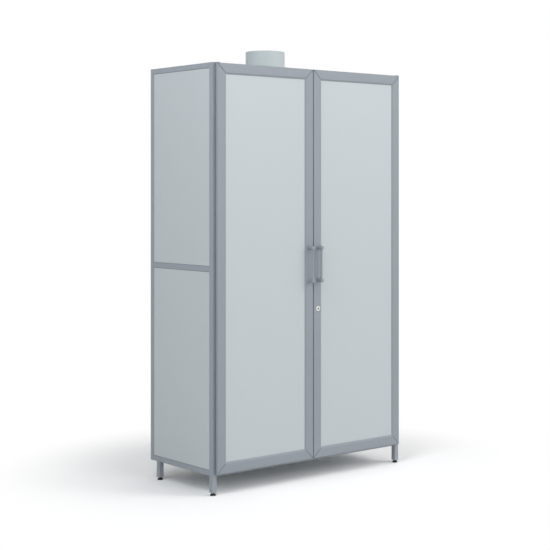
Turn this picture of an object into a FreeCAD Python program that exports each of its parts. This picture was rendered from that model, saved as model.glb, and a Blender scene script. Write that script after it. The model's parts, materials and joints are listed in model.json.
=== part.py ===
"""Two-door laboratory storage cabinet: a welded steel tube frame with boarded walls, framed doors on corner
pivots, fixed shelves, levelling feet and an exhaust spigot in the roof.

Row frame: +X to the right, +Y to the rear, +Z up, millimetres. The origin is on the floor under the middle
of the whole cabinet, handles included.
"""
import FreeCAD, Part
import math
import os
import re

import Sketcher

SIZES = {
    # Overall frame
    "width": 1200.0,
    "depth": 508.0,
    "height": 2005.0,
    "underside_height": 90.0,
    "mid_rail_height": 1047.0,
    # Square tube of the frame
    "tube": 25.0,
    "tube_wall": 1.5,
    "tube_round": 1.5,
    "cap_sheet": 2.0,
    "rear_leg_set_in": 52.0,
    # Wall boards
    "board": 16.0,
    "edge_band": 2.0,
    "panel_recess": 2.0,
    "clip_sheet": 2.0,
    "clip_reach": 20.0,
    "clip_width": 30.0,
    "clip_from_end": 110.0,
    # Shelves
    "shelf_board": 16.0,
    "first_shelf": 362.0,
    "shelf_pitch": 378.0,
    "shelf_set_back": 30.0,
    "shelf_play": 1.0,
    "angle_leg": 25.0,
    "angle_sheet": 2.0,
    "angle_weld": 5.0,
    # Exhaust spigot
    "spigot_radius": 100.0,
    "spigot_wall": 3.0,
    "spigot_rise": 112.0,
    "spigot_from_rear": 152.0,
    "spigot_play": 2.0,
    "flange_radius": 125.0,
    "flange_sheet": 3.0,
    "gasket": 2.0,
    # Feet
    "foot_height": 13.0,
    "foot_radius": 13.0,
    "foot_rim": 4.0,
    "foot_shoulder_radius": 10.5,
    "foot_shoulder": 8.0,
    "foot_dome": 11.0,
    "foot_neck": 6.0,
    "stem_radius": 4.0,
    "stem_length": 34.0,
    "plug_flange": 2.5,
    "plug_depth": 26.0,
    "plug_play": 0.1,
    # Door outline
    "door_inset": 14.5,
    "door_gap": 3.5,
    "door_thickness": 18.0,
    "top_reveal": 3.0,
    "bottom_reveal": 10.5,
    "meeting_gap": 4.0,
    # Door frame extrusion
    "sight_width": 51.0,
    "lip_bevel": 8.0,
    "lip_edge": 0.6,
    "shoulder": 17.4,
    "crown_radius": 400.0,
    "front_round": 3.0,
    "back_round": 4.0,
    "groove": 8.0,
    "back_lip": 2.5,
    "seal": 1.5,
    "door_board": 8.0,
    "board_play": 1.0,
    "wall": 2.0,
    "nose_start": 4.0,
    "nose_end": 15.0,
    "nose_height": 10.0,
    "rib": 2.0,
    "mitre_groove": 1.5,
    "key_play": 0.3,
    "key_leg": 80.0,
    # Corner pivots
    "pivot_edge": 9.0,
    "pivot_depth": 9.0,
    "pin_radius": 3.0,
    "pin_play": 0.05,
    "pin_seat": 16.0,
    "bush_radius": 5.0,
    "bush_length": 22.0,
    "bush_play": 0.1,
    "bush_flange_radius": 7.0,
    "bush_flange": 0.5,
    "lug_sheet": 2.0,
    "lug_space": 0.8,
    "lug_radius": 9.0,
    # Handles
    "handle_height": 1051.0,
    "handle_spacing": 160.0,
    "handle_edge": 26.0,
    "handle_reach": 36.0,
    "handle_post_radius": 9.5,
    "handle_post_bevel": 1.2,
    "handle_rod_radius": 5.0,
    "handle_rod_reach": 27.0,
    "handle_rod_seat": 5.0,
    "handle_play": 0.1,
    # Cam lock
    "lock_height": 832.0,
    "lock_edge": 26.0,
    "lock_face_radius": 12.0,
    "lock_face": 3.0,
    "lock_face_bevel": 0.8,
    "lock_barrel_radius": 9.0,
    "lock_tail": 6.5,
    "lock_play": 0.2,
    "plug_radius": 6.5,
    "lock_turn_play": 0.05,
    "key_slot_width": 1.6,
    "key_slot_height": 8.0,
    "key_slot_depth": 5.0,
    "cam_sheet": 2.5,
    "cam_width": 16.0,
    "cam_arm": 40.0,
    "cam_stub_radius": 4.0,
    "nut_radius": 13.0,
    "nut_height": 5.0,
    # Catches and buffers
    "catch_from_middle": 80.0,
    "catch_length": 40.0,
    "catch_height": 16.0,
    "catch_depth": 22.0,
    "strike_sheet": 1.5,
    "catch_space": 0.3,
    "buffer_radius": 4.0,
    "buffer_space": 0.3,
    "buffer_drop": 6.0,
    "buffer_near": 150.0,
    "buffer_far": 480.0,
}
SHELF_COUNT = 4
SIDES = {"left": -1, "right": 1}

doc = FreeCAD.newDocument("cabinet")
sheet = doc.addObject("Spreadsheet::Sheet", "Sizes")
for row, (alias, size) in enumerate(SIZES.items(), start=1):
    sheet.set(f"A{row}", alias)
    sheet.set(f"B{row}", str(size))
    sheet.setAlias(f"B{row}", alias)
doc.recompute()

AXES = "xyz"
DIRECTIONS = {
    "x": FreeCAD.Vector(1, 0, 0),
    "y": FreeCAD.Vector(0, 1, 0),
    "z": FreeCAD.Vector(0, 0, 1),
}
parts = {}


# Formulas over the sheet

def formula(text):
    """A formula in alias names, as an expression over the sheet."""
    return re.sub(r"[a-z_]+", lambda word: "Sizes." + word.group(0), str(text))


def number(text):
    """The present value of a formula."""
    return float(sheet.evalExpression(formula(text)))


def bind(thing, **properties):
    """Bind properties of a document object to formulas."""
    for name, text in properties.items():
        thing.setExpression(name, formula(text))
    return thing


def place(thing, x="0", y="0", z="0", rotation=None):
    """Bind an object's position to formulas, with a fixed rotation."""
    thing.Placement = FreeCAD.Placement(FreeCAD.Vector(), rotation or FreeCAD.Rotation())
    for axis, text in zip(AXES, (x, y, z)):
        thing.setExpression(f"Placement.Base.{axis}", formula(text))
    return thing


def less(text, other):
    return f"({text}) - ({other})"


def plus(text, other):
    return f"({text}) + ({other})"


# Building blocks

def box(name, **spans):
    """A box between two planes on each axis, given in either order."""
    low = {}
    length = {}
    for axis in AXES:
        ends = sorted(spans[axis], key=number)
        low[axis] = ends[0]
        length[axis] = less(ends[1], ends[0])
    block = doc.addObject("Part::Box", name)
    bind(block, Length=length["x"], Width=length["y"], Height=length["z"])
    return place(block, **low)


def cylinder(name, radius, axis, ends, x="0", y="0", z="0"):
    """A round bar along one axis between two planes, in either order."""
    low, high = sorted(ends, key=number)
    bar = doc.addObject("Part::Cylinder", name)
    bind(bar, Radius=radius, Height=less(high, low))
    turn = FreeCAD.Rotation(DIRECTIONS["z"], DIRECTIONS[axis])
    centre = {"x": x, "y": y, "z": z}
    centre[axis] = low
    return place(bar, rotation=turn, **centre)


def cut(name, base, *tools):
    """A piece with one or more tools cut away."""
    for index, tool in enumerate(tools):
        result = doc.addObject("Part::Cut", f"{name}_{index}")
        result.Base = base
        result.Tool = tool
        base = result
    return base


def fuse(name, *pieces):
    result = doc.addObject("Part::MultiFuse", name)
    result.Shapes = list(pieces)
    result.Refine = True
    return result


def round_edges(name, base, radius, keep, kind="Part::Fillet"):
    """A piece with the edges that pass a test rounded."""
    doc.recompute()
    size = number(radius)
    result = doc.addObject(kind, name)
    result.Base = base
    numbered = enumerate(base.Shape.Edges, start=1)
    result.Edges = [(index, size, size) for index, edge in numbered if keep(edge)]
    return result


def bevel_edges(name, base, width, keep):
    """A piece with the edges that pass a test bevelled."""
    return round_edges(name, base, width, keep, kind="Part::Chamfer")


def runs_along(axis):
    """Test for a straight edge along an axis."""
    def keep(edge):
        first, last = edge.Vertexes[0].Point, edge.Vertexes[-1].Point
        step = last - first
        return step.Length > 0 and abs(abs(step.dot(DIRECTIONS[axis])) - step.Length) < 1e-6
    return keep


def circle_at(axis, plane):
    """Test for a round edge that lies in a plane across an axis."""
    level = number(plane)

    def keep(edge):
        on_plane = abs(edge.CenterOfMass.dot(DIRECTIONS[axis]) - level) < 1e-6
        return on_plane and isinstance(edge.Curve, Part.Circle)
    return keep


def node(label, *pieces):
    """Name a piece, or a group of separate pieces, as one node."""
    if len(pieces) == 1:
        result = pieces[0]
    else:
        result = doc.addObject("Part::Compound", label)
        result.Links = list(pieces)
    result.Label = label
    parts[label] = result
    return result


def origin_plane(body, role):
    return next(feature for feature in body.Origin.OriginFeatures if feature.Role == role)


def draw_loop(sketch, corners):
    """Draw a closed outline and bind its corners to formulas.

    A corner is (x, y), or (x, y, radius) where an arc of that radius, bulging to the left of its travel,
    leads to the next corner.
    """
    points = [FreeCAD.Vector(number(corner[0]), number(corner[1]), 0) for corner in corners]
    first = sketch.GeometryCount
    count = len(corners)
    for index, corner in enumerate(corners):
        start, end = points[index], points[(index + 1) % count]
        if len(corner) == 3:
            radius = number(corner[2])
            half = (end - start) * 0.5
            left = FreeCAD.Vector(-half.y, half.x, 0).normalize()
            rise = radius - math.sqrt(radius ** 2 - half.Length ** 2)
            curve = Part.Arc(start, start + half + left * rise, end)
        else:
            curve = Part.LineSegment(start, end)
        sketch.addGeometry(curve)
    for index, corner in enumerate(corners):
        here = first + index
        after = first + (index + 1) % count
        start_here, end_here = ends_of(sketch, here, points[index])
        start_after, _ = ends_of(sketch, after, points[(index + 1) % count])
        sketch.addConstraint(Sketcher.Constraint("Coincident", here, end_here, after, start_after))
        hold(sketch, "DistanceX", here, start_here, corner[0], -2)
        hold(sketch, "DistanceY", here, start_here, corner[1], -1)
        if len(corner) == 3:
            radius = sketch.addConstraint(Sketcher.Constraint("Radius", here, number(corner[2])))
            sketch.setExpression(f"Constraints[{radius}]", formula(corner[2]))


def ends_of(sketch, index, start):
    """Which of a curve's ends, 1 or 2, is its start in the outline, and which its end."""
    if sketch.getPoint(index, 1).isEqual(start, 1e-6):
        return 1, 2
    return 2, 1


def hold(sketch, kind, index, point, text, axis_line):
    """Hold a corner at a formula's distance from the origin, or on the axis itself."""
    if str(text) == "0":
        sketch.addConstraint(Sketcher.Constraint("PointOnObject", index, point, axis_line))
        return
    constraint = sketch.addConstraint(Sketcher.Constraint(kind, -1, 1, index, point, number(text)))
    sketch.setExpression(f"Constraints[{constraint}]", formula(text))


def sketch_on(body, role, name, *loops):
    sketch = body.newObject("Sketcher::SketchObject", name)
    sketch.AttachmentSupport = (origin_plane(body, role), [""])
    sketch.MapMode = "FlatFace"
    for loop in loops:
        draw_loop(sketch, loop)
    doc.recompute()
    return sketch


def turned(name, outline, x, y, z):
    """A body of revolution about a vertical axis, from a half section of (radius, height) corners."""
    body = doc.addObject("PartDesign::Body", name)
    sketch = sketch_on(body, "XZ_Plane", f"{name}_section", outline)
    revolution = body.newObject("PartDesign::Revolution", f"{name}_turn")
    revolution.Profile = sketch
    revolution.ReferenceAxis = (sketch, ["V_Axis"])
    revolution.Angle = 360
    return place(body, x, y, z)


# Planes that many pieces share

HALF_WIDTH = "width / 2"
FRAME_FRONT = "(handle_reach + door_thickness + door_gap - depth) / 2"
FRAME_REAR = plus(FRAME_FRONT, "depth")
INNER_SIDE = "width / 2 - tube"
INNER_FRONT = plus(FRAME_FRONT, "tube")
INNER_REAR = less(FRAME_REAR, "tube")
ROOF_UNDER = "height - tube"
FLOOR_TOP = "underside_height + tube"
MID_TOP = "mid_rail_height + tube / 2"
MID_UNDER = "mid_rail_height - tube / 2"
BOARD_BACK = "panel_recess + board"
ROOF_PANEL_TOP = "height - panel_recess"
ROOF_PANEL_UNDER = f"height - ({BOARD_BACK})"
FLOOR_PANEL_TOP = "underside_height + tube - panel_recess"
FLOOR_PANEL_UNDER = f"underside_height + tube - ({BOARD_BACK})"
DOOR_BACK = less(FRAME_FRONT, "door_gap")
DOOR_FRONT = less(FRAME_FRONT, "door_gap + door_thickness")
DOOR_TOP = "height - top_reveal"
DOOR_BOTTOM = "underside_height + bottom_reveal"
DOOR_OUTER = "width / 2 - door_inset"
DOOR_MEETING = "meeting_gap / 2"
PIVOT_X = f"{DOOR_OUTER} - pivot_edge"
PIVOT_Y = plus(DOOR_FRONT, "pivot_depth")
LOCK_X = f"{DOOR_MEETING} + lock_edge"
REAR_LEG_BACK = less(FRAME_REAR, "rear_leg_set_in")
REAR_LEG_FRONT = less(REAR_LEG_BACK, "tube")
LEG_END = "foot_height + plug_flange"


def mirrored(side, text):
    """A distance from the middle plane, on the left or the right of it."""
    return f"{SIDES[side]} * ({text})"


# Welded frame

def tube(name, axis, **spans):
    """A length of square tube along one axis, open at both ends."""
    outer = box(f"{name}_outer", **spans)
    rounded = round_edges(f"{name}_rounded", outer, "tube_round", runs_along(axis))
    inside = {}
    for key, ends in spans.items():
        low, high = sorted(ends, key=number)
        if key == axis:
            inside[key] = (less(low, "tube"), plus(high, "tube"))
        else:
            inside[key] = (plus(low, "tube_wall"), less(high, "tube_wall"))
    return cut(name, rounded, box(f"{name}_inside", **inside))


def frame_posts():
    post_top = "height - cap_sheet"
    for side in SIDES:
        across = (mirrored(side, HALF_WIDTH), mirrored(side, INNER_SIDE))
        front = tube(f"{side}_front_tube", "z", x=across, y=(FRAME_FRONT, INNER_FRONT),
                     z=(LEG_END, post_top))
        rear = tube(f"{side}_rear_tube", "z", x=across, y=(INNER_REAR, FRAME_REAR),
                    z=("underside_height + cap_sheet", post_top))
        node(f"{side}_front_post", front)
        node(f"{side}_rear_post", rear)


def rear_legs():
    legs = []
    for side in SIDES:
        across = (mirrored(side, HALF_WIDTH), mirrored(side, INNER_SIDE))
        along = (REAR_LEG_FRONT, REAR_LEG_BACK)
        legs.append(tube(f"{side}_rear_leg", "z", x=across, y=along, z=(LEG_END, "underside_height")))
    node("rear_legs", *legs)


def frame_rails():
    levels = {
        "bottom": ("underside_height", FLOOR_TOP),
        "mid": (MID_UNDER, MID_TOP),
        "top": (ROOF_UNDER, "height"),
    }
    for side in SIDES:
        across = (mirrored(side, HALF_WIDTH), mirrored(side, INNER_SIDE))
        along = (INNER_FRONT, INNER_REAR)
        rails = [tube(f"{side}_{level}_rail", "y", x=across, y=along, z=span)
                 for level, span in levels.items()]
        node(f"{side}_side_rails", *rails)
    between = (mirrored("left", INNER_SIDE), mirrored("right", INNER_SIDE))
    rear = [tube(f"rear_{level}_rail", "x", x=between, y=(INNER_REAR, FRAME_REAR), z=span)
            for level, span in levels.items()]
    node("rear_rails", *rear)
    front = [tube(f"front_{level}_rail", "x", x=between, y=(FRAME_FRONT, INNER_FRONT), z=levels[level])
             for level in ("bottom", "top")]
    node("front_rails", *front)


def post_caps():
    """Cap plates that close the tops of the posts and the lower ends of the rear posts."""
    caps = []
    for side in SIDES:
        across = (mirrored(side, HALF_WIDTH), mirrored(side, INNER_SIDE))
        rear = (INNER_REAR, FRAME_REAR)
        ends = {
            "front_top": ((FRAME_FRONT, INNER_FRONT), ("height - cap_sheet", "height")),
            "rear_top": (rear, ("height - cap_sheet", "height")),
            "rear_bottom": (rear, ("underside_height", "underside_height + cap_sheet")),
        }
        for end, (along, level) in ends.items():
            plate = box(f"{side}_{end}_cap_plate", x=across, y=along, z=level)
            caps.append(round_edges(f"{side}_{end}_cap", plate, "tube_round", runs_along("z")))
    node("post_caps", *caps)


# Boarded walls, roof and floor

def panel(name, thin, **spans):
    """A board that fills an opening, and the edge band round it."""
    opening = box(f"{name}_opening", **spans)
    inside = {}
    through = {}
    for axis, ends in spans.items():
        low, high = sorted(ends, key=number)
        if axis == thin:
            inside[axis] = (low, high)
            through[axis] = (less(low, "board"), plus(high, "board"))
        else:
            inside[axis] = (plus(low, "edge_band"), less(high, "edge_band"))
            through[axis] = inside[axis]
    board = box(f"{name}_board", **inside)
    band = cut(f"{name}_band", opening, box(f"{name}_band_inside", **through))
    return board, band


def clip(name, thin, thin_span, edge, rail_face, inward, run, centre):
    """An angle clip: a short leg welded to a rail and a long leg flat on the inner face of a board.

    thin_span runs from the board's inner face to the inner plane of the tube.
    """
    board_face, tube_plane = thin_span
    toward_room = 1 if number(tube_plane) > number(board_face) else -1
    width_span = (less(centre, "clip_width / 2"), plus(centre, "clip_width / 2"))
    weld_leg = {
        thin: (board_face, tube_plane),
        edge: (rail_face, plus(rail_face, f"{inward} * clip_sheet")),
        run: width_span,
    }
    board_leg = {
        thin: (board_face, plus(board_face, f"{toward_room} * clip_sheet")),
        edge: (rail_face, plus(rail_face, f"{inward} * clip_reach")),
        run: width_span,
    }
    return fuse(name, box(f"{name}_weld_leg", **weld_leg), box(f"{name}_board_leg", **board_leg))


def walls():
    bands = []
    clips = []
    storeys = {"lower": (FLOOR_TOP, MID_UNDER), "upper": (MID_TOP, ROOF_UNDER)}
    side_stations = (plus(INNER_FRONT, "clip_from_end"), less(INNER_REAR, "clip_from_end"))
    rear_stations = ("clip_from_end - width / 2 + tube", "0", "width / 2 - tube - clip_from_end")
    for side in SIDES:
        face = mirrored(side, "width / 2 - panel_recess")
        back = mirrored(side, f"width / 2 - ({BOARD_BACK})")
        behind = (back, mirrored(side, INNER_SIDE))
        boards = []
        for storey, span in storeys.items():
            name = f"{side}_{storey}"
            board, band = panel(name, "x", x=(face, back), y=(INNER_FRONT, INNER_REAR), z=span)
            boards.append(board)
            bands.append(band)
            for end, (rail_face, inward) in enumerate(((span[0], 1), (span[1], -1))):
                for spot, station in enumerate(side_stations):
                    clips.append(clip(f"{name}_clip_{end}_{spot}", "x", behind, "z", rail_face, inward,
                                      "y", station))
        node(f"{side}_wall_panels", *boards)
    boards = []
    back = less(FRAME_REAR, BOARD_BACK)
    for storey, span in storeys.items():
        board, band = panel(f"rear_{storey}", "y", y=(back, less(FRAME_REAR, "panel_recess")),
                            x=(mirrored("left", INNER_SIDE), mirrored("right", INNER_SIDE)), z=span)
        boards.append(board)
        bands.append(band)
        for end, (rail_face, inward) in enumerate(((span[0], 1), (span[1], -1))):
            for spot, station in enumerate(rear_stations):
                clips.append(clip(f"rear_{storey}_clip_{end}_{spot}", "y", (back, INNER_REAR),
                                  "z", rail_face, inward, "x", station))
    node("rear_wall_panels", *boards)
    levels = {
        "roof": (ROOF_PANEL_UNDER, ROOF_PANEL_TOP, ROOF_UNDER),
        "floor": (FLOOR_PANEL_UNDER, FLOOR_PANEL_TOP, "underside_height"),
    }
    for level, (under, top, rail_under) in levels.items():
        board, band = panel(level, "z", x=(mirrored("left", INNER_SIDE), mirrored("right", INNER_SIDE)),
                            y=(INNER_FRONT, INNER_REAR), z=(under, top))
        bands.append(band)
        for end, (rail_face, inward) in enumerate(((INNER_FRONT, 1), (INNER_REAR, -1))):
            for spot, station in enumerate(rear_stations):
                clips.append(clip(f"{level}_clip_{end}_{spot}", "z", (under, rail_under),
                                  "y", rail_face, inward, "x", station))
        if level == "roof":
            through = (less(under, "board"), plus(top, "board"))
            hole = cylinder("spigot_hole", "spigot_radius + spigot_play", "z", through,
                            y=less(FRAME_REAR, "spigot_from_rear"))
            board = cut("roof_with_hole", board, hole)
        node(f"{level}_panel", board)
    node("panel_edge_bands", *bands)
    node("panel_clips", *clips)


def exhaust_spigot():
    """A flanged round spigot through the roof, on a gasket."""
    seat = "board + gasket"
    outline = [
        ("spigot_radius - spigot_wall", "0"),
        ("spigot_radius", "0"),
        ("spigot_radius", seat),
        ("flange_radius", seat),
        ("flange_radius", f"{seat} + flange_sheet"),
        ("spigot_radius", f"{seat} + flange_sheet"),
        ("spigot_radius", "board + spigot_rise"),
        ("spigot_radius - spigot_wall", "board + spigot_rise"),
    ]
    centre_y = less(FRAME_REAR, "spigot_from_rear")
    node("exhaust_spigot", turned("spigot", outline, "0", centre_y, ROOF_PANEL_UNDER))
    span = (ROOF_PANEL_TOP, plus(ROOF_PANEL_TOP, "gasket"))
    ring = cylinder("gasket_disc", "flange_radius", "z", span, y=centre_y)
    through = (ROOF_PANEL_UNDER, "height + spigot_rise")
    hole = cylinder("gasket_hole", "spigot_radius + spigot_play", "z", through, y=centre_y)
    node("spigot_gasket", cut("gasket_ring", ring, hole))


# Shelves

def shelves():
    boards = []
    bands = []
    angles = []
    front = plus(FRAME_FRONT, "shelf_set_back")
    rear = less(INNER_REAR, "shelf_play")
    across = [mirrored(side, f"{INNER_SIDE} - shelf_play") for side in SIDES]
    along = (plus(FRAME_FRONT, "angle_weld"), plus(INNER_REAR, "angle_weld"))
    for index in range(SHELF_COUNT):
        under = f"{FLOOR_PANEL_TOP} + first_shelf + {index} * shelf_pitch"
        level = (under, plus(under, "shelf_board"))
        boards.append(box(f"shelf_board_{index}", x=across, y=(plus(front, "edge_band"), rear), z=level))
        bands.append(box(f"shelf_band_{index}", x=across, y=(front, plus(front, "edge_band")), z=level))
        for side in SIDES:
            upright = box(f"{side}_angle_upright_{index}", y=along, z=(less(under, "angle_leg"), under),
                          x=(mirrored(side, INNER_SIDE), mirrored(side, f"{INNER_SIDE} - angle_sheet")))
            ledge = box(f"{side}_angle_ledge_{index}", y=along, z=(less(under, "angle_sheet"), under),
                        x=(mirrored(side, INNER_SIDE), mirrored(side, f"{INNER_SIDE} - angle_leg")))
            angles.append(fuse(f"{side}_angle_{index}", upright, ledge))
    node("shelves", *boards)
    node("shelf_edge_bands", *bands)
    node("shelf_angles", *angles)


# Levelling feet

def feet():
    outline = [
        ("0", "0"),
        ("foot_radius", "0"),
        ("foot_radius", "foot_rim"),
        ("foot_shoulder_radius", "foot_shoulder"),
        ("foot_neck", "foot_dome"),
        ("stem_radius", "foot_dome"),
        ("stem_radius", "foot_dome + stem_length"),
        ("0", "foot_dome + stem_length"),
    ]
    plugs = []
    stations = {
        "front": (FRAME_FRONT, INNER_FRONT),
        "rear": (REAR_LEG_FRONT, REAR_LEG_BACK),
    }
    for side in SIDES:
        across = (mirrored(side, HALF_WIDTH), mirrored(side, INNER_SIDE))
        centre_x = mirrored(side, "width / 2 - tube / 2")
        for end, along in stations.items():
            centre_y = plus(along[0], "tube / 2")
            name = f"{side}_{end}"
            node(f"{name}_foot", turned(f"{name}_foot_turned", outline, centre_x, centre_y, "0"))
            plate = box(f"{name}_plug_plate", x=across, y=along, z=("foot_height", LEG_END))
            flange = round_edges(f"{name}_plug_flange", plate, "tube_round", runs_along("z"))
            inset = "tube_wall + plug_play"
            low_x, high_x = sorted(across, key=number)
            plug_top = plus(LEG_END, "plug_depth")
            core = box(f"{name}_plug_core", x=(plus(low_x, inset), less(high_x, inset)),
                       y=(plus(along[0], inset), less(along[1], inset)), z=("foot_height", plug_top))
            bore = cylinder(f"{name}_plug_bore", "stem_radius + plug_play", "z",
                            ("0", plus(plug_top, "tube")), x=centre_x, y=centre_y)
            plugs.append(cut(f"{name}_plug", fuse(f"{name}_plug_blank", flange, core), bore))
    node("leg_plugs", *plugs)


# Doors

def section_loops():
    """The door frame extrusion: x from the outer edge towards the board, y from the back to the front."""
    groove_floor = "sight_width - groove"
    groove_front = "back_lip + seal + door_board"
    outline = [
        ("0", "0"),
        ("sight_width", "0"),
        ("sight_width", "back_lip"),
        (groove_floor, "back_lip"),
        (groove_floor, groove_front),
        ("sight_width", groove_front),
        ("sight_width", f"{groove_front} + lip_edge"),
        ("sight_width - lip_bevel", "shoulder"),
    ]
    outline_end = ("0", "shoulder")
    nose_low = "(door_thickness - nose_height) / 2"
    nose = rectangle("nose_start", "nose_end", nose_low, f"{nose_low} + nose_height")
    main = rectangle("nose_end + rib", f"{groove_floor} - wall", "wall", "shoulder - wall")
    crown_start = outline[-1] + ("crown_radius",)
    return [reversed_loop(outline[:-1] + [crown_start, outline_end]), nose, main]


def rectangle(left, right, low, high):
    return [(left, low), (right, low), (right, high), (left, high)]


def reversed_loop(corners):
    """The same outline drawn the other way round, so that its arc bulges outwards."""
    turned_round = [corner[:2] for corner in reversed(corners)]
    arcs = {corners[index + 1][:2]: corner[2] for index, corner in enumerate(corners) if len(corner) == 3}
    return [corner + (arcs[corner],) if corner in arcs else corner for corner in turned_round]


def profile_member(name, length, rotation, x, y, z):
    """A mitred length of the door extrusion, whose outer edge starts at (x, y, z) on the door's back."""
    body = doc.addObject("PartDesign::Body", f"{name}_bar")
    sketch = sketch_on(body, "XY_Plane", f"{name}_section", *section_loops())
    pad = body.newObject("PartDesign::Pad", f"{name}_pad")
    pad.Profile = sketch
    bind(pad, Length=length)
    doc.recompute()
    for radius, level in (("front_round", "shoulder"), ("back_round", "0")):
        corner = FreeCAD.Vector(0, number(level), number(length) / 2)
        base = body.Tip
        edge = next(index for index, line in enumerate(base.Shape.Edges, start=1)
                    if line.CenterOfMass.isEqual(corner, 1e-6))
        rounding = body.newObject("PartDesign::Fillet", f"{name}_{radius}")
        rounding.Base = (base, [f"Edge{edge}"])
        bind(rounding, Radius=radius)
        doc.recompute()
    place(body, x, y, z, rotation)
    wedge = doc.addObject("Part::Wedge", f"{name}_mitre")
    bind(wedge, Xmin="0", Xmax=length, Ymin="0", Ymax="sight_width", Zmin="0", Zmax="2 * door_thickness",
         X2min="sight_width", X2max=less(length, "sight_width"), Z2min="0", Z2max="2 * door_thickness")
    along, inward, forward = (rotation.multVec(DIRECTIONS[axis]) for axis in ("z", "x", "y"))
    place(wedge, x, y, z, FreeCAD.Rotation(along, inward, forward, "XYZ"))
    mitred = doc.addObject("Part::Common", f"{name}_mitred")
    mitred.Base = body
    mitred.Tool = wedge
    return mitred


def axes_rotation(inward):
    """The turn that points a member's section inwards along one direction and its front towards -Y."""
    front = FreeCAD.Vector(0, -1, 0)
    return FreeCAD.Rotation(inward, front, inward.cross(front), "XYZ")


def mitre_bar(name, corner_x, corner_z, inward_x, inward_z):
    """A square bar on edge along a corner's mitre, whose lower edge is the bottom of a V groove in the face."""
    front = FreeCAD.Vector(0, -1, 0)
    along = FreeCAD.Vector(inward_x, 0, inward_z).normalize()
    across = along.cross(front)
    bar = doc.addObject("Part::Box", name)
    bind(bar, Length="door_thickness", Width="door_thickness", Height="2 * sight_width")
    bottom = less(DOOR_BACK, "shoulder - mitre_groove")
    return place(bar, corner_x, bottom, corner_z, FreeCAD.Rotation(front - across, front + across, along, "ZXY"))


def door_frame(side):
    """Two stiles and two rails, mitred, with holes for bushes and, on the right, the lock."""
    sign = SIDES[side]
    outer = mirrored(side, DOOR_OUTER)
    meeting = mirrored(side, DOOR_MEETING)
    left_x, right_x = sorted((outer, meeting), key=number)
    tall = less(DOOR_TOP, DOOR_BOTTOM)
    wide = f"{DOOR_OUTER} - ({DOOR_MEETING})"
    right_way = FreeCAD.Vector(1, 0, 0)
    up = FreeCAD.Vector(0, 0, 1)
    left_stile = profile_member(f"{side}_door_left_bar", tall, axes_rotation(right_way),
                                left_x, DOOR_BACK, DOOR_TOP)
    right_stile = profile_member(f"{side}_door_right_bar", tall, axes_rotation(-right_way),
                                 right_x, DOOR_BACK, DOOR_BOTTOM)
    top_rail = profile_member(f"{side}_door_top_bar", wide, axes_rotation(-up),
                              right_x, DOOR_BACK, DOOR_TOP)
    bottom_rail = profile_member(f"{side}_door_bottom_bar", wide, axes_rotation(up),
                                 left_x, DOOR_BACK, DOOR_BOTTOM)
    bars = {}
    for edge, x, inward_x in (("left", left_x, 1), ("right", right_x, -1)):
        for end, z, inward_z in (("top", DOOR_TOP, -1), ("bottom", DOOR_BOTTOM, 1)):
            bars[edge, end] = mitre_bar(f"{side}_door_{edge}_{end}_mitre", x, z, inward_x, inward_z)
    left_stile = cut(f"{side}_door_left_stile", left_stile, bars["left", "top"], bars["left", "bottom"])
    right_stile = cut(f"{side}_door_right_stile", right_stile, bars["right", "top"], bars["right", "bottom"])
    top_rail = cut(f"{side}_door_upper_rail", top_rail, bars["left", "top"], bars["right", "top"])
    bottom_rail = cut(f"{side}_door_lower_rail", bottom_rail, bars["left", "bottom"], bars["right", "bottom"])
    hinge_stile, meeting_stile = (left_stile, right_stile) if sign < 0 else (right_stile, left_stile)
    bush_hole = {}
    for end, level in (("top", DOOR_TOP), ("bottom", DOOR_BOTTOM)):
        depth = "bush_length + bush_play"
        span = (less(level, depth), plus(level, depth))
        bush_hole[end] = cylinder(f"{side}_{end}_bush_hole", "bush_radius + bush_play", "z", span,
                                  x=mirrored(side, PIVOT_X), y=PIVOT_Y)
    if side == "right":
        through = (plus(DOOR_BACK, "tube"), less(DOOR_FRONT, "tube"))
        hole = cylinder("lock_hole", "lock_barrel_radius + lock_play", "y", through,
                        x=LOCK_X, z="lock_height")
        meeting_stile = cut("right_meeting_stile_bored", meeting_stile, hole)
    node(f"{side}_door_hinge_stile", cut(f"{side}_hinge_stile_bored", hinge_stile, *bush_hole.values()))
    node(f"{side}_door_meeting_stile", meeting_stile)
    node(f"{side}_door_top_rail", cut(f"{side}_top_rail_bored", top_rail, bush_hole["top"]))
    node(f"{side}_door_bottom_rail", cut(f"{side}_bottom_rail_bored", bottom_rail, bush_hole["bottom"]))


def door_fill(side):
    """The board in the groove, the seal behind it and the corner keys in the extrusion."""
    seat = "sight_width - groove + board_play"
    across = (mirrored(side, f"{DOOR_OUTER} - ({seat})"), mirrored(side, f"{DOOR_MEETING} + {seat}"))
    upright = (f"{DOOR_BOTTOM} + {seat}", f"{DOOR_TOP} - ({seat})")
    board_back = less(DOOR_BACK, "back_lip + seal")
    thick = (board_back, less(board_back, "door_board"))
    node(f"{side}_door_panel", box(f"{side}_door_board", x=across, z=upright, y=thick))
    strip = box(f"{side}_door_seal_outer", x=across, z=upright, y=(less(DOOR_BACK, "back_lip"), board_back))
    sight_x = (f"{DOOR_OUTER} - sight_width", f"{DOOR_MEETING} + sight_width")
    window = box(f"{side}_door_seal_inner", x=[mirrored(side, text) for text in sight_x],
                 y=(plus(DOOR_BACK, "seal"), DOOR_FRONT),
                 z=(f"{DOOR_BOTTOM} + sight_width", f"{DOOR_TOP} - sight_width"))
    node(f"{side}_door_panel_seal", cut(f"{side}_door_seal", strip, window))
    node(f"{side}_door_corner_keys", *corner_keys(side))


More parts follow.
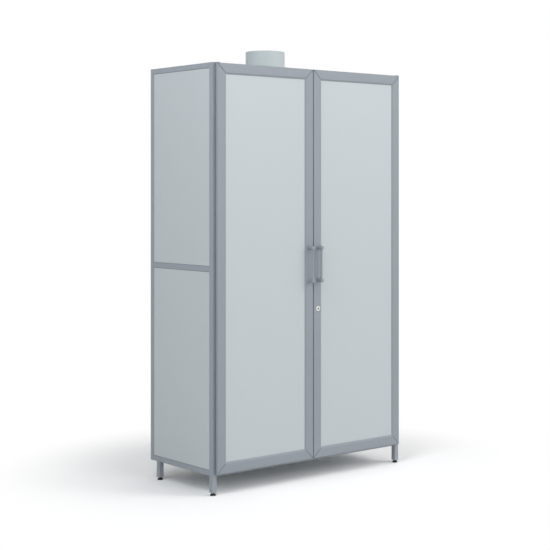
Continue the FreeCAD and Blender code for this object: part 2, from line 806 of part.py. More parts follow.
def corner_keys(side):
    """The angles that sit in the main chamber of the extrusion and hold each mitre together."""
    near = "nose_end + rib + key_play"
    far = "sight_width - groove - wall - key_play"
    thick = (less(DOOR_BACK, "wall + key_play"), less(DOOR_BACK, "shoulder - wall - key_play"))
    edges = {"outer": (DOOR_OUTER, -1), "meeting": (DOOR_MEETING, 1)}
    levels = {"top": (DOOR_TOP, -1), "bottom": (DOOR_BOTTOM, 1)}
    keys = []
    for edge, (edge_x, inward) in edges.items():
        for level, (level_z, up) in levels.items():
            name = f"{side}_{edge}_{level}_key"
            x_near, x_far, x_end = (mirrored(side, plus(edge_x, f"{inward} * ({text})"))
                                    for text in (near, far, "key_leg"))
            z_near, z_far, z_end = (plus(level_z, f"{up} * ({text})") for text in (near, far, "key_leg"))
            tall_leg = box(f"{name}_tall", x=(x_near, x_far), y=thick, z=(z_near, z_end))
            flat_leg = box(f"{name}_flat", x=(x_near, x_end), y=thick, z=(z_near, z_far))
            keys.append(fuse(name, tall_leg, flat_leg))
    return keys


def door_pivots():
    """Welded lugs and pins on the frame, flanged bushes in the doors."""
    lugs = []
    pins = []
    for side in SIDES:
        x = mirrored(side, PIVOT_X)
        on_axis = {"axis": "z", "x": x, "y": PIVOT_Y}
        bushes = []
        for end, level, up in (("top", DOOR_TOP, 1), ("bottom", DOOR_BOTTOM, -1)):
            name = f"{side}_{end}"
            near = plus(level, f"{up} * lug_space")
            far = plus(near, f"{up} * lug_sheet")
            beyond = plus(far, f"{up} * tube")
            pin_end = less(level, f"{up} * pin_seat")
            sleeve_end = less(level, f"{up} * bush_length")
            collar_end = plus(level, f"{up} * bush_flange")
            plate = box(f"{name}_lug_plate", x=(less(x, "lug_radius"), plus(x, "lug_radius")),
                        y=(FRAME_FRONT, PIVOT_Y), z=(near, far))
            tip = cylinder(f"{name}_lug_tip", "lug_radius", ends=(near, far), **on_axis)
            hole = cylinder(f"{name}_lug_hole", "pin_radius + pin_play", ends=(level, beyond), **on_axis)
            lugs.append(cut(f"{name}_lug", fuse(f"{name}_lug_blank", plate, tip), hole))
            pins.append(cylinder(f"{name}_pin", "pin_radius", ends=(pin_end, far), **on_axis))
            sleeve = cylinder(f"{name}_sleeve", "bush_radius", ends=(sleeve_end, level), **on_axis)
            collar = cylinder(f"{name}_collar", "bush_flange_radius", ends=(level, collar_end), **on_axis)
            bore = cylinder(f"{name}_bush_bore", "pin_radius + pin_play",
                            ends=(less(pin_end, f"{up} * pin_play"), beyond), **on_axis)
            bushes.append(cut(f"{name}_bush", fuse(f"{name}_bush_blank", sleeve, collar), bore))
        node(f"{side}_door_bushes", *bushes)
    node("pivot_lugs", *lugs)
    node("pivot_pins", *pins)


def handle(side):
    """Two round posts and the rod between them."""
    x = mirrored(side, f"{DOOR_MEETING} + handle_edge")
    tip = less(DOOR_FRONT, "handle_reach")
    rod_y = less(DOOR_FRONT, "handle_rod_reach")
    half = "handle_spacing / 2"
    rod_half = f"{half} + handle_rod_seat"
    bore_half = f"{rod_half} + handle_play"
    rod = cylinder(f"{side}_handle_rod", "handle_rod_radius", "z", x=x, y=rod_y,
                   ends=(f"handle_height - ({rod_half})", f"handle_height + {rod_half}"))
    bore = cylinder(f"{side}_handle_bore", "handle_rod_radius + handle_play", "z", x=x, y=rod_y,
                    ends=(f"handle_height - ({bore_half})", f"handle_height + {bore_half}"))
    pieces = [rod]
    for end, sign in (("top", 1), ("bottom", -1)):
        name = f"{side}_{end}_handle_post"
        post = cylinder(name, "handle_post_radius", "y", (DOOR_FRONT, tip),
                        x=x, z=f"handle_height + {sign} * {half}")
        bevelled = bevel_edges(f"{name}_bevelled", post, "handle_post_bevel", circle_at("y", tip))
        pieces.append(cut(f"{name}_bored", bevelled, bore))
    node(f"{side}_door_handle", *pieces)


def cam_lock():
    """A cam lock in the right door: face, barrel and nut stay, the plug and the cam turn."""
    z = "lock_height"
    on_axis = {"axis": "y", "x": LOCK_X, "z": z}
    face = less(DOOR_FRONT, "lock_face")
    tail = plus(DOOR_BACK, "lock_tail")
    beyond = plus(tail, "tube")
    disc = cylinder("lock_disc", "lock_face_radius", ends=(DOOR_FRONT, face), **on_axis)
    rim = bevel_edges("lock_rim", disc, "lock_face_bevel", circle_at("y", face))
    barrel = cylinder("lock_barrel", "lock_barrel_radius", ends=(DOOR_FRONT, tail), **on_axis)
    bore = cylinder("lock_bore", "plug_radius + lock_turn_play",
                    ends=(less(face, "tube"), beyond), **on_axis)
    node("lock_housing", cut("lock_shell", fuse("lock_blank", rim, barrel), bore))
    prism = doc.addObject("Part::Prism", "lock_nut_blank")
    prism.Polygon = 6
    bind(prism, Circumradius="nut_radius", Height="nut_height")
    place(prism, LOCK_X, DOOR_BACK, z, FreeCAD.Rotation(DIRECTIONS["z"], DIRECTIONS["y"]))
    hole = cylinder("lock_nut_hole", "lock_barrel_radius + lock_turn_play",
                    ends=(less(DOOR_BACK, "tube"), beyond), **on_axis)
    node("lock_nut", cut("lock_nut_bored", prism, hole))
    cam_front = plus(tail, "lock_play")
    cam_back = plus(cam_front, "cam_sheet")
    core = cylinder("plug_core", "plug_radius", ends=(face, cam_front), **on_axis)
    stub = cylinder("plug_stub", "cam_stub_radius", ends=(cam_front, cam_back), **on_axis)
    slot = box("plug_key_slot", x=(f"{LOCK_X} - key_slot_width / 2", f"{LOCK_X} + key_slot_width / 2"),
               y=(less(face, "tube"), plus(face, "key_slot_depth")),
               z=(f"{z} - key_slot_height / 2", f"{z} + key_slot_height / 2"))
    node("lock_plug", cut("plug_slotted", fuse("plug_blank", core, stub), slot))
    blade = box("cam_blade", x=(f"{LOCK_X} - cam_width / 2", f"{LOCK_X} + cam_width / 2"),
                y=(cam_front, cam_back), z=(f"{z} - cam_arm", z))
    hub = cylinder("cam_hub", "cam_width / 2", ends=(cam_front, cam_back), **on_axis)
    eye = cylinder("cam_eye", "cam_stub_radius + lock_turn_play", ends=(DOOR_BACK, beyond), **on_axis)
    node("lock_cam", cut("cam_pierced", fuse("cam_blank", blade, hub), eye))


def catches():
    """Magnet catches under the top rail, strikes on the doors and buffers on the frame front."""
    magnets = []
    buffers = []
    strike_face = plus(DOOR_BACK, "strike_sheet")
    level = (f"{ROOF_UNDER} - catch_height", ROOF_UNDER)
    for side in SIDES:
        across = [mirrored(side, f"catch_from_middle {sign} catch_length / 2") for sign in "-+"]
        front = plus(strike_face, "catch_space")
        magnets.append(box(f"{side}_magnet", x=across, y=(front, plus(front, "catch_depth")), z=level))
        node(f"{side}_door_strike", box(f"{side}_strike", x=across, y=(DOOR_BACK, strike_face), z=level))
        heights = {"top": f"{ROOF_UNDER} + buffer_drop", "bottom": f"{FLOOR_TOP} - buffer_drop"}
        for rail, height in heights.items():
            for spot in ("buffer_near", "buffer_far"):
                ends = (FRAME_FRONT, plus(DOOR_BACK, "buffer_space"))
                buffers.append(cylinder(f"{side}_{rail}_{spot}", "buffer_radius", "y", ends,
                                        x=mirrored(side, spot), z=height))
    node("magnet_catches", *magnets)
    node("door_buffers", *buffers)


def write_parts():
    """Check every object, then write one file for each node."""
    doc.recompute()
    failed = [thing.Name for thing in doc.Objects if {"Invalid", "Error"} & set(thing.State)]
    if failed:
        raise RuntimeError(f"failed objects: {failed}")
    for label, part in parts.items():
        if part.Shape.isNull() or not part.Shape.isValid():
            raise RuntimeError(f"bad shape: {label}")
    os.makedirs("parts", exist_ok=True)
    for label, part in parts.items():
        part.Shape.exportStep(f"parts/{label}.step")
    print(len(parts), "nodes,", sum(len(part.Shape.Solids) for part in parts.values()), "solids")


frame_posts()
rear_legs()
frame_rails()
post_caps()
walls()
exhaust_spigot()
shelves()
feet()
for door_side in SIDES:
    door_frame(door_side)
    door_fill(door_side)
    handle(door_side)
door_pivots()
cam_lock()
catches()
write_parts()
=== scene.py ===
"""Looks of the laboratory storage cabinet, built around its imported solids.

Metres, +Z up, front towards -Y.
"""
import json
import math

import bmesh
import bpy
from mathutils import Euler, Matrix, Vector


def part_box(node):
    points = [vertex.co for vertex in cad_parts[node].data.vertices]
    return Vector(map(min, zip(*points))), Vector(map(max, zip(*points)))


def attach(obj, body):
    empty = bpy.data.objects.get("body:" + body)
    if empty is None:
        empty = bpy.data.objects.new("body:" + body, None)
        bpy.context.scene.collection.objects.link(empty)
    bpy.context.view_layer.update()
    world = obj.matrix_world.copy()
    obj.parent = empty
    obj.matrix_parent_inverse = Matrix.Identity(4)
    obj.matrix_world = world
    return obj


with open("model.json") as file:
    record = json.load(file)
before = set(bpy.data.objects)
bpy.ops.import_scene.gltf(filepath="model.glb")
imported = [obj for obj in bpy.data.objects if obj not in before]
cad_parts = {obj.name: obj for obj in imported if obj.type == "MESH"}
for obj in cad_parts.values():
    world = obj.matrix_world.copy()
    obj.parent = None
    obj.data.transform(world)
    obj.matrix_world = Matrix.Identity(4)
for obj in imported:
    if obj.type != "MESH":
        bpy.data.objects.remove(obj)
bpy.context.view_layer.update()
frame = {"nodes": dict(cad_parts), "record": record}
NODES = frame["nodes"]
MM = 0.001
QUARTER_TURN = math.tau / 4
FRONT = Vector((0.0, -1.0, 0.0))
BACK = Vector((0.0, 1.0, 0.0))
UP = Vector((0.0, 0.0, 1.0))

# Colours, linear, as they look under plain light
WHITE = (1.0, 1.0, 1.0)
FRAME_GREY = (0.266, 0.293, 0.325)
DOOR_GREY = (0.241, 0.267, 0.295)
BOARD_GREY = (0.446, 0.482, 0.502)
SPIGOT_GREY = (0.436, 0.483, 0.494)
BAND_GREY = (0.174, 0.191, 0.210)
PLUG_GREY = (0.281, 0.303, 0.332)
RUBBER_DARK = (0.042, 0.047, 0.055)
FOOT_BLACK = (0.005, 0.005, 0.006)
NYLON_WHITE = (0.740, 0.740, 0.715)
CHROME = (0.900, 0.900, 0.893)
# Nickel made dark: its own duller plating plus painted shade of the keyhole on the lock's plug
NICKEL = (0.290, 0.287, 0.275)
ZINC = (0.600, 0.605, 0.610)
CAST_ALUMINIUM = (0.640, 0.645, 0.655)

# Fineness of the marks on metal along each axis, in grains per metre
POLISHED = (400.0, 400.0, 40.0)
GALVANISED = (160.0, 160.0, 160.0)
CAST = (120.0, 120.0, 120.0)

# Drift of a moulded surface's roughness to each side
MOULDED_DRIFT = 0.06

# The part of a noise value's range that it seldom leaves
NOISE_LOW = 0.3
NOISE_HIGH = 0.7

# Sockets of a colour mix node by number, because several of them have the same name
MIX_FACTOR = 0
MIX_DARK = 6
MIX_LIGHT = 7
MIX_RESULT = 2


# Materials

def node_in(tree, kind, **settings):
    """A new shader node with its settings."""
    node = tree.nodes.new(kind)
    for name, value in settings.items():
        setattr(node, name, value)
    return node


def with_alpha(colour, factor=1.0):
    """A colour times a factor, as a colour socket takes it."""
    return tuple(factor * part for part in colour) + (1.0,)


class Paint:
    """A principled material whose variation comes from nodes in the object's own metres."""

    def __init__(self, name, roughness, metallic=0.0, specular=0.5):
        self.material = bpy.data.materials.new(name)
        self.material.use_nodes = True
        self.tree = self.material.node_tree
        self.shader = self.tree.nodes["Principled BSDF"]
        self.shader.inputs["Roughness"].default_value = roughness
        self.shader.inputs["Metallic"].default_value = metallic
        self.shader.inputs["Specular IOR Level"].default_value = specular
        self.place = self.add("ShaderNodeTexCoord").outputs["Object"]

    def add(self, kind, **settings):
        return node_in(self.tree, kind, **settings)

    def link(self, source, target):
        self.tree.links.new(source, target)

    def stretched(self, scale):
        """The object's metres scaled along each axis, for grain that runs one way."""
        mapping = self.add("ShaderNodeMapping")
        mapping.inputs["Scale"].default_value = scale
        self.link(self.place, mapping.inputs["Vector"])
        return mapping.outputs["Vector"]

    def noise(self, fineness, detail, place=None):
        """Soft noise, with so many grains to each unit of its place."""
        texture = self.add("ShaderNodeTexNoise")
        texture.inputs["Scale"].default_value = fineness
        texture.inputs["Detail"].default_value = detail
        self.link(place or self.place, texture.inputs["Vector"])
        return texture.outputs["Fac"]

    def spread(self, noise, low, high):
        """A noise value, which stays near 0.5, spread over a range."""
        step = self.add("ShaderNodeMapRange")
        step.inputs["From Min"].default_value = NOISE_LOW
        step.inputs["From Max"].default_value = NOISE_HIGH
        step.inputs["To Min"].default_value = low
        step.inputs["To Max"].default_value = high
        self.link(noise, step.inputs["Value"])
        return step.outputs["Result"]

    def colour(self, base, variation, noise):
        """Colour that drifts a little darker and lighter than its base."""
        mix = self.add("ShaderNodeMix", data_type="RGBA")
        mix.inputs[MIX_DARK].default_value = with_alpha(base, 1 - variation)
        mix.inputs[MIX_LIGHT].default_value = with_alpha(base, 1 + variation)
        self.link(self.spread(noise, 0.0, 1.0), mix.inputs[MIX_FACTOR])
        self.link(mix.outputs[MIX_RESULT], self.shader.inputs["Base Color"])

    def roughness(self, low, high, noise):
        self.link(self.spread(noise, low, high), self.shader.inputs["Roughness"])

    def bump(self, strength, depth, noise):
        relief = self.add("ShaderNodeBump")
        relief.inputs["Strength"].default_value = strength
        relief.inputs["Distance"].default_value = depth
        self.link(noise, relief.inputs["Height"])
        self.link(relief.outputs["Normal"], self.shader.inputs["Normal"])


def powder_coat(name, base):
    """Satin powder coat: faint orange peel, faint drift in colour and gloss."""
    paint = Paint(name, roughness=0.6, specular=0.4)
    paint.colour(base, variation=0.02, noise=paint.noise(fineness=2.2, detail=3.0))
    paint.roughness(low=0.55, high=0.66, noise=paint.noise(fineness=60.0, detail=3.0))
    paint.bump(strength=0.10, depth=0.12 * MM, noise=paint.noise(fineness=650.0, detail=2.0))
    return paint.material


def melamine(name, base):
    """Faced board: a fine pearl texture with a very faint fleck."""
    paint = Paint(name, roughness=0.48, specular=0.36)
    paint.colour(base, variation=0.018, noise=paint.noise(fineness=900.0, detail=4.0))
    paint.roughness(low=0.44, high=0.54, noise=paint.noise(fineness=14.0, detail=3.0))
    paint.bump(strength=0.07, depth=0.08 * MM, noise=paint.noise(fineness=1100.0, detail=2.0))
    return paint.material


def moulded(name, base, roughness, variation=0.05):
    """Moulded plastic or rubber with a fine spark-eroded grain."""
    paint = Paint(name, roughness=roughness, specular=0.4)
    paint.colour(base, variation, noise=paint.noise(fineness=30.0, detail=3.0))
    smoothest = roughness - MOULDED_DRIFT
    roughest = roughness + MOULDED_DRIFT
    paint.roughness(smoothest, roughest, noise=paint.noise(fineness=90.0, detail=2.0))
    paint.bump(strength=0.12, depth=0.10 * MM, noise=paint.noise(fineness=800.0, detail=2.0))
    return paint.material


def plated(name, base, low, high, grain):
    """Plated or bare metal with fine marks, its roughness between low and high."""
    paint = Paint(name, roughness=low, metallic=1.0)
    marks = paint.noise(fineness=1.0, detail=3.0, place=paint.stretched(grain))
    paint.colour(base, variation=0.04, noise=marks)
    paint.roughness(low, high, noise=marks)
    paint.bump(strength=0.04, depth=0.05 * MM, noise=marks)
    return paint.material


MATERIALS = {
    "frame_paint": powder_coat("frame_paint", FRAME_GREY),
    "door_profile": powder_coat("door_profile", DOOR_GREY),
    "handle_metal": powder_coat("handle_metal", DOOR_GREY),
    "board": melamine("board", BOARD_GREY),
    "edge_band": moulded("edge_band", BAND_GREY, roughness=0.55),
    "spigot_plastic": moulded("spigot_plastic", SPIGOT_GREY, roughness=0.5, variation=0.012),
    "grey_rubber": moulded("grey_rubber", RUBBER_DARK, roughness=0.75),
    "black_plastic": moulded("black_plastic", FOOT_BLACK, roughness=0.6),
    "plug_plastic": moulded("plug_plastic", PLUG_GREY, roughness=0.5),
    "white_nylon": moulded("white_nylon", NYLON_WHITE, roughness=0.4),
    "lock_chrome": plated("lock_chrome", CHROME, low=0.08, high=0.20, grain=POLISHED),
    "zinc_steel": plated("zinc_steel", ZINC, low=0.26, high=0.42, grain=GALVANISED),
    "key_aluminium": plated("key_aluminium", CAST_ALUMINIUM, low=0.38, high=0.52, grain=CAST),
}
# The lock plug's plating: duller than the collar, and darkened with painted shade of the keyhole
PLUG_NICKEL_WITH_PAINTED_SHADE = plated("lock_nickel_painted_shade", NICKEL, low=0.28, high=0.40, grain=POLISHED)


def dress_nodes():
    """Give every CAD node its slot's material, and the lock's plug a duller, darker plating than its collar,
    whose darkness is partly painted shade of the keyhole across the plug's face.
    """
    for part in frame["record"]["subparts"]:
        mesh = NODES[part["node"]].data
        mesh.materials.clear()
        mesh.materials.append(MATERIALS[part["material_slot"]])
    # Painted shade: the plug face is darkened to stand for the keyhole's shade
    NODES["lock_plug"].data.materials[0] = PLUG_NICKEL_WITH_PAINTED_SHADE


# Small fittings

SAME_PLACE = 0.01 * MM
SMOOTH_BELOW = math.radians(35.0)

# Radius and height of the head of each kind of screw
CLIP_SCREW = (3.6 * MM, 2.2 * MM)
FLANGE_SCREW = (4.2 * MM, 2.6 * MM)
HANDLE_SCREW = (4.6 * MM, 2.4 * MM)
CATCH_SCREW = (3.2 * MM, 1.8 * MM)
CAM_SCREW = (5.6 * MM, 3.2 * MM)
STRIKE_SCREW = (3.2 * MM, 0.18 * MM)

# Form of every screw head: counts, and shares of its radius or height
SCREW_SIDES = 24
HEAD_STEPS = 3
HEAD_EDGE = 0.35
HEAD_FLAT = 0.62
CROSS_ARMS = 4
ARM_HALF_WIDTH = 0.13
ARM_REACH = 0.46
CROSS_TAPER = 0.78
CROSS_DEPTH = 0.7

# Where screws go; the spread is a share of a block's width to each side of its middle
FLANGE_SCREWS = 8
HANDLE_POSTS = 2
SCREW_SPREAD = 0.3

# Faces of a block: its axis, and 0 for the low end or 1 for the high end
UNDERSIDE = (2, 0)
REAR_FACE = (1, 1)

# Dark sealant in the mitre grooves, painted shade for the mitre seams: the dip of its top is a share of its
# rise
BEAD_RISE = 0.95 * MM
BEAD_TAPER = 2.4 * MM
BEAD_DIP = 0.25
BEAD_STEPS = 4


def corners_of(points):
    """The lowest and highest corner of a group of points."""
    low = Vector([min(point[axis] for point in points) for axis in range(3)])
    high = Vector([max(point[axis] for point in points) for axis in range(3)])
    return low, high


def reach_of(points):
    """The distance between the lowest and highest corner of a group of points."""
    low, high = corners_of(points)
    return (high - low).length


def solids_of(node):
    """The points of each separate solid of a CAD node, in a fixed order."""
    shape = bmesh.new()
    shape.from_mesh(NODES[node].data)
    bmesh.ops.remove_doubles(shape, verts=shape.verts, dist=SAME_PLACE)
    shape.verts.index_update()
    waiting = {vertex.index: vertex for vertex in shape.verts}
    groups = []
    while waiting:
        group = [waiting.pop(min(waiting))]
        for vertex in group:
            for edge in vertex.link_edges:
                other = waiting.pop(edge.other_vert(vertex).index, None)
                if other:
                    group.append(other)
        groups.append([vertex.co.copy() for vertex in group])
    shape.free()
    return groups


def pairs_round(loop):
    """Each corner of a closed loop with the next one."""
    return zip(loop, loop[1:] + loop[:1])


def band(shape, lower, upper):
    """Faces between two loops of as many corners."""
    for (low, next_low), (high, next_high) in zip(pairs_round(lower), pairs_round(upper)):
        shape.faces.new((low, next_low, next_high, high))


def loop_edges(shape, loop):
    """The edges round a loop, made where there is none yet."""
    return [shape.edges.get(pair) or shape.edges.new(pair) for pair in pairs_round(loop)]


def finished(shape, name):
    """The mesh of a shape that is built up."""
    mesh = bpy.data.meshes.new(name)
    shape.to_mesh(mesh)
    shape.free()
    return mesh


def add_piece(name, mesh, body, slot):
    """Put a mesh in the scene as a piece that rides on a body and has a slot's material."""
    mesh.polygons.foreach_set("use_smooth", [True] * len(mesh.polygons))
    mesh.set_sharp_from_angle(angle=SMOOTH_BELOW)
    mesh.materials.append(MATERIALS[slot])
    piece = bpy.data.objects.new(name, mesh)
    bpy.context.scene.collection.objects.link(piece)
    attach(piece, body)


def ring(shape, radius, height):
    """A circle of corners about the local axis."""
    corners = []
    for side in range(SCREW_SIDES):
        angle = math.tau * side / SCREW_SIDES
        corners.append(shape.verts.new((radius * math.cos(angle), radius * math.sin(angle), height)))
    return corners


def cross(shape, radius, height, scale):
    """The outline of a cross recess at some height."""
    half = ARM_HALF_WIDTH * radius * scale
    reach = ARM_REACH * radius * scale
    arm = [(reach, -half), (reach, half), (half, half)]
    corners = []
    for turn in range(CROSS_ARMS):
        spin = Matrix.Rotation(math.tau * turn / CROSS_ARMS, 2)
        corners += [spin @ Vector(corner) for corner in arm]
    return [shape.verts.new((corner.x, corner.y, height)) for corner in corners]


def head_outline(radius, height):
    """Radius and height up a domed head: a straight edge, then a round shoulder to its flat top."""
    outline = [(radius, 0.0)]
    for step in range(HEAD_STEPS + 1):
        angle = QUARTER_TURN * step / HEAD_STEPS
        out = HEAD_FLAT + (1 - HEAD_FLAT) * math.cos(angle)
        up = HEAD_EDGE + (1 - HEAD_EDGE) * math.sin(angle)
        outline.append((radius * out, height * up))
    return outline


def screw_head(name, radius, height):
    """A domed head with a cross recess, its seat at the origin and facing along +Z."""
    shape = bmesh.new()
    rings = [ring(shape, *place) for place in head_outline(radius, height)]
    for lower, upper in zip(rings, rings[1:]):
        band(shape, lower, upper)
    mouth = cross(shape, radius, height, 1.0)
    bottom = cross(shape, radius, height * (1 - CROSS_DEPTH), CROSS_TAPER)
    rim = loop_edges(shape, rings[-1]) + loop_edges(shape, mouth)
    bmesh.ops.triangle_fill(shape, edges=rim, use_beauty=True, normal=UP)
    band(shape, mouth, bottom)
    shape.faces.new(bottom)
    bmesh.ops.recalc_face_normals(shape, faces=shape.faces)
    return finished(shape, name)


def screws(name, size, seats, body):
    """Copies of one screw head at a list of (seat, direction)."""
    head = screw_head(f"{name}_head", *size)
    shape = bmesh.new()
    for seat, direction in seats:
        shape.verts.ensure_lookup_table()
        first = len(shape.verts)
        shape.from_mesh(head)
        shape.verts.ensure_lookup_table()
        turn = direction.to_track_quat("Z", "Y").to_matrix().to_4x4()
        bmesh.ops.transform(shape, matrix=Matrix.Translation(seat) @ turn, verts=shape.verts[first:])
    bpy.data.meshes.remove(head)
    add_piece(name, finished(shape, name), body, "zinc_steel")


def clip_seat(points):
    """Where a clip's screw sits on the leg against the board, and which way it faces."""
    low, high = corners_of(points)
    thin = min(range(3), key=lambda axis: high[axis] - low[axis])
    near_low = [point for point in points if point[thin] - low[thin] < SAME_PLACE]
    near_high = [point for point in points if high[thin] - point[thin] < SAME_PLACE]
    board_is_low = reach_of(near_low) > reach_of(near_high)
    board = low[thin] if board_is_low else high[thin]
    direction = Vector()
    direction[thin] = 1.0 if board_is_low else -1.0
    heights = [abs(point[thin] - board) for point in points]
    seat = (low + high) / 2
    seat[thin] = board + direction[thin] * min(height for height in heights if height > SAME_PLACE)
    return seat, direction


def flange_seats():
    """Seats round the spigot's flange, midway between the pipe and the flange's edge."""
    points = solids_of("exhaust_spigot")[0]
    low, high = corners_of(points)
    centre = (low + high) / 2
    reach = (high.x - low.x) / 2
    top = max(point.z for point in points if (point - centre).xy.length > reach - SAME_PLACE)
    pipe = max((point - centre).xy.length for point in points if point.z > top + SAME_PLACE)
    seats = []
    for index in range(FLANGE_SCREWS):
        angle = math.tau * (index + 0.5) / FLANGE_SCREWS
        out = Vector((math.cos(angle), math.sin(angle), 0.0)) * (reach + pipe) / 2
        seats.append((Vector((centre.x, centre.y, top)) + out, UP))
    return seats


def handle_seats(side):
    """Seats on the door's back behind the posts of its handle, which are its shortest solids."""
    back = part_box(f"{side}_door_meeting_stile")[1].y
    solids = [corners_of(points) for points in solids_of(f"{side}_door_handle")]
    solids.sort(key=lambda ends: ends[1].z - ends[0].z)
    seats = []
    for low, high in solids[:HANDLE_POSTS]:
        seat = (low + high) / 2
        seat.y = back
        seats.append((seat, BACK))
    return seats


def spread_seats(low, high, face):
    """Two seats along X on one face of a block."""
    axis, end = face
    direction = Vector()
    direction[axis] = 1.0 if end else -1.0
    seats = []
    for side in (-1, 1):
        seat = (low + high) / 2
        seat.x += side * SCREW_SPREAD * (high.x - low.x)
        seat[axis] = (low, high)[end][axis]
        seats.append((seat, direction))
    return seats


def cam_seat():
    """The seat behind the lock's cam, in line with its plug."""
    low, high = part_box("lock_plug")
    seat = (low + high) / 2
    seat.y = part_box("lock_cam")[1].y
    return seat, BACK


def mitre_grooves(side):
    """The two ends of the bottom of each V groove where a door's rails meet its stiles."""
    grooves = []
    for rail, end in (("top_rail", 1), ("bottom_rail", 0)):
        points = [vertex.co for vertex in NODES[f"{side}_door_{rail}"].data.vertices]
        low, high = corners_of(points)
        corner_z = (low, high)[end].z
        for corner_x in (low.x, high.x):
            cut = [point for point in points
                   if abs(abs(point.x - corner_x) - abs(point.z - corner_z)) < SAME_PLACE]
            front = min(point.y for point in cut)
            bottom = [point for point in cut if point.y - front < SAME_PLACE]
            bottom.sort(key=lambda point: point.z)
            grooves.append((bottom[0].copy(), bottom[-1].copy()))
    return grooves


def bead_section(across):
    """Corners of the dark sealant, the mitre seam's painted shade, across its groove: the bottom, then a
    hollow top from side to side.
    """
    corners = [Vector()]
    for step in range(BEAD_STEPS + 1):
        out = 2 * step / BEAD_STEPS - 1
        up = 1 - BEAD_DIP * (1 - out ** 2)
        corners.append(BEAD_RISE * (out * across + up * FRONT))
    return corners


def bead(shape, start, end):
    """Dark sealant along the bottom of a V groove, painted shade for the seam, thinning out to a point at
    both ends.
    """
    along = (end - start).normalized()
    section = bead_section(along.cross(FRONT))
    places = (start + BEAD_TAPER * along, end - BEAD_TAPER * along)
    loops = [[shape.verts.new(place + corner) for corner in section] for place in places]
    band(shape, *loops)
    for tip, loop in zip((start, end), loops):
        point = shape.verts.new(tip)
        for pair in pairs_round(loop):
            shape.faces.new((point, *pair))


def mitre_sealant_painted_shade(side):
    """The dark sealant in the four mitres of a door, which paints the shade of the mitre seams."""
    shape = bmesh.new()
    for start, end in mitre_grooves(side):
        bead(shape, start, end)
    bmesh.ops.recalc_face_normals(shape, faces=shape.faces)
    name = f"{side}_door_mitre_sealant"
    # The sealant is dark to paint the shade of the mitre seams
    add_piece(name, finished(shape, name), f"{side}_door", "grey_rubber")


def door_fittings(side):
    """What a door carries: dark sealant that paints the mitre seams' shade, and the screws of its handle and
    strike.
    """
    body = f"{side}_door"
    mitre_sealant_painted_shade(side)
    screws(f"{body}_handle_screws", HANDLE_SCREW, handle_seats(side), body)
    strikes = spread_seats(*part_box(f"{body}_strike"), face=REAR_FACE)
    screws(f"{body}_strike_screws", STRIKE_SCREW, strikes, body)


def fittings():
    """All screws, and the dark sealant that paints the mitre seams' shade, on the bodies that carry them."""
    clips = [clip_seat(points) for points in solids_of("panel_clips")]
    screws("clip_screws", CLIP_SCREW, clips, "cabinet")
    screws("flange_screws", FLANGE_SCREW, flange_seats(), "cabinet")
    catches = []
    for points in solids_of("magnet_catches"):
        catches += spread_seats(*corners_of(points), face=UNDERSIDE)
    screws("catch_screws", CATCH_SCREW, catches, "cabinet")
    door_fittings("left")
    door_fittings("right")
    screws("cam_screw", CAM_SCREW, [cam_seat()], "lock")


# Stage

FLOOR_HALF = 30.0
FLOOR_WHITE = 0.97
FLOOR_FADE_START = 0.66
FLOOR_FADE_END = 1.5
SEEN_WHITE = 1.0
SKY_EVEN = 0.268
SKY_RIGHT = 0.92
LAMP_TARGET = (0.0, 0.0, 1.2)
COOL = (0.965, 1.0, 1.025)
WARM = (1.012, 1.0, 0.99)


def combined(tree, operation, first, second):
    """The result of an operation on two values."""
    node = node_in(tree, "ShaderNodeMath", operation=operation)
    tree.links.new(first, node.inputs[0])
    tree.links.new(second, node.inputs[1])
    return node.outputs["Value"]


def seen_directly(tree):
    """1 for rays that show the background as it is seen: straight, mirrored or refracted."""
    path = node_in(tree, "ShaderNodeLightPath")
    total = path.outputs["Is Camera Ray"]
    for ray in ("Is Glossy Ray", "Is Transmission Ray"):
        total = combined(tree, "MAXIMUM", total, path.outputs[ray])
    return total


def floor_paint():
    """Matt and pale near the cabinet, plain white to the eye well away from it."""
    material = bpy.data.materials.new("pale_floor")
    material.use_nodes = True
    tree = material.node_tree
    tree.nodes.clear()
    place = node_in(tree, "ShaderNodeTexCoord")
    distance = node_in(tree, "ShaderNodeVectorMath", operation="LENGTH")
    tree.links.new(place.outputs["Object"], distance.inputs[0])
    fade = node_in(tree, "ShaderNodeMapRange", interpolation_type="SMOOTHSTEP")
    fade.inputs["From Min"].default_value = FLOOR_FADE_START
    fade.inputs["From Max"].default_value = FLOOR_FADE_END
    tree.links.new(distance.outputs["Value"], fade.inputs["Value"])
    share = combined(tree, "MULTIPLY", fade.outputs["Result"], seen_directly(tree))
    matt = node_in(tree, "ShaderNodeBsdfDiffuse")
    matt.inputs["Color"].default_value = with_alpha(WHITE, FLOOR_WHITE)
    plain = node_in(tree, "ShaderNodeEmission")
    plain.inputs["Strength"].default_value = SEEN_WHITE
    both = node_in(tree, "ShaderNodeMixShader")
    factor, near, away = both.inputs
    tree.links.new(share, factor)
    tree.links.new(matt.outputs["BSDF"], near)
    tree.links.new(plain.outputs["Emission"], away)
    out = node_in(tree, "ShaderNodeOutputMaterial")
    tree.links.new(both.outputs["Shader"], out.inputs["Surface"])
    return material


def floor():
    """A wide flat floor that takes the cabinet's shadow."""
    signs = ((-1, -1), (1, -1), (1, 1), (-1, 1))
    mesh = bpy.data.meshes.new("floor")
    mesh.from_pydata([(x * FLOOR_HALF, y * FLOOR_HALF, 0.0) for x, y in signs], [], [(0, 1, 2, 3)])
    mesh.materials.append(floor_paint())
    plane = bpy.data.objects.new("floor", mesh)
    bpy.context.scene.collection.objects.link(plane)


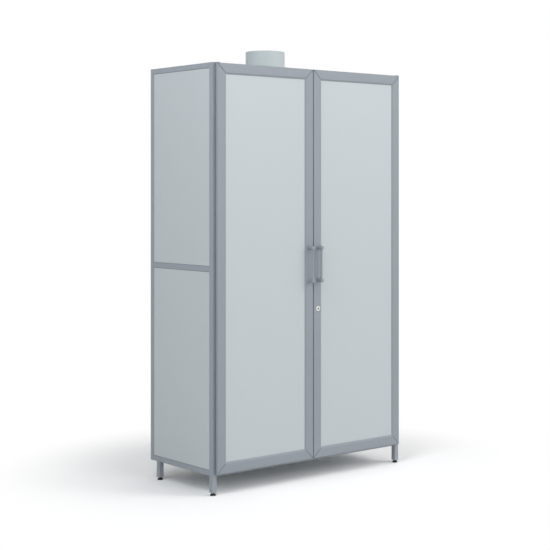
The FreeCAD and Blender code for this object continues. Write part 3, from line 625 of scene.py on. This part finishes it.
def sky():
    """White to the eye; as light, even all round and brighter from the right."""
    world = bpy.data.worlds.new("studio")
    bpy.context.scene.world = world
    world.use_nodes = True
    tree = world.node_tree
    tree.nodes.clear()
    direction = node_in(tree, "ShaderNodeTexCoord")
    split = node_in(tree, "ShaderNodeSeparateXYZ")
    tree.links.new(direction.outputs["Generated"], split.inputs["Vector"])
    light = node_in(tree, "ShaderNodeMapRange")
    light.inputs["To Min"].default_value = SKY_EVEN
    light.inputs["To Max"].default_value = SKY_EVEN + SKY_RIGHT
    tree.links.new(split.outputs["X"], light.inputs["Value"])
    strength = node_in(tree, "ShaderNodeMix", data_type="FLOAT")
    strength.inputs["B"].default_value = SEEN_WHITE
    tree.links.new(seen_directly(tree), strength.inputs["Factor"])
    tree.links.new(light.outputs["Result"], strength.inputs["A"])
    background = node_in(tree, "ShaderNodeBackground")
    background.inputs["Color"].default_value = with_alpha(WHITE)
    tree.links.new(strength.outputs["Result"], background.inputs["Strength"])
    out = node_in(tree, "ShaderNodeOutputWorld")
    tree.links.new(background.outputs["Background"], out.inputs["Surface"])


def soft_light(name, place, size, power, colour):
    """A round diffuser, out of sight, that faces the cabinet; its power is in watts."""
    lamp = bpy.data.lights.new(name, "AREA")
    lamp.shape = "DISK"
    lamp.size = size
    lamp.energy = power
    lamp.color = colour
    holder = bpy.data.objects.new(name, lamp)
    holder.location = place
    holder.rotation_euler = (Vector(LAMP_TARGET) - Vector(place)).to_track_quat("-Z", "Y").to_euler()
    holder.visible_camera = False
    bpy.context.scene.collection.objects.link(holder)


def lamps():
    """Warm light from the front and right, cooler light from the left."""
    soft_light("front", place=(0.5, -10.0, 5.0), size=4.0, power=164.0, colour=WARM)
    soft_light("right_front", place=(3.4, -3.8, 3.6), size=3.0, power=96.0, colour=WARM)
    soft_light("right_high", place=(3.0, -4.5, 6.5), size=2.0, power=46.0, colour=WARM)
    soft_light("left", place=(-4.5, -1.2, 3.0), size=3.0, power=50.0, colour=COOL)
    soft_light("left_high", place=(-2.6, -1.4, 4.2), size=2.0, power=66.0, colour=COOL)


# Camera: lens and sensor in millimetres, shifts as shares of the picture's width

CAMERA_PLACE = (-4.2330, -5.1190, 1.4234)
CAMERA_TURN = math.radians(-39.288)
LENS = 86.36
SENSOR = 36.0
SHIFT_RIGHT = 0.0008
SHIFT_UP = -0.1584
FARTHEST_SEEN = 200.0


def camera():
    """A level camera at the photo's viewpoint, with its frame shifted, so that upright lines stay upright."""
    data = bpy.data.cameras.new("camera")
    data.sensor_width = SENSOR
    data.lens = LENS
    data.shift_x = SHIFT_RIGHT
    data.shift_y = SHIFT_UP
    data.clip_end = FARTHEST_SEEN
    holder = bpy.data.objects.new("camera", data)
    holder.location = CAMERA_PLACE
    holder.rotation_euler = Euler((QUARTER_TURN, 0.0, CAMERA_TURN))
    bpy.context.scene.collection.objects.link(holder)
    bpy.context.scene.camera = holder


# The scene, step by step

dress_nodes()
fittings()
floor()
sky()
lamps()
camera()
bpy.context.scene.view_settings.view_transform = "Standard"
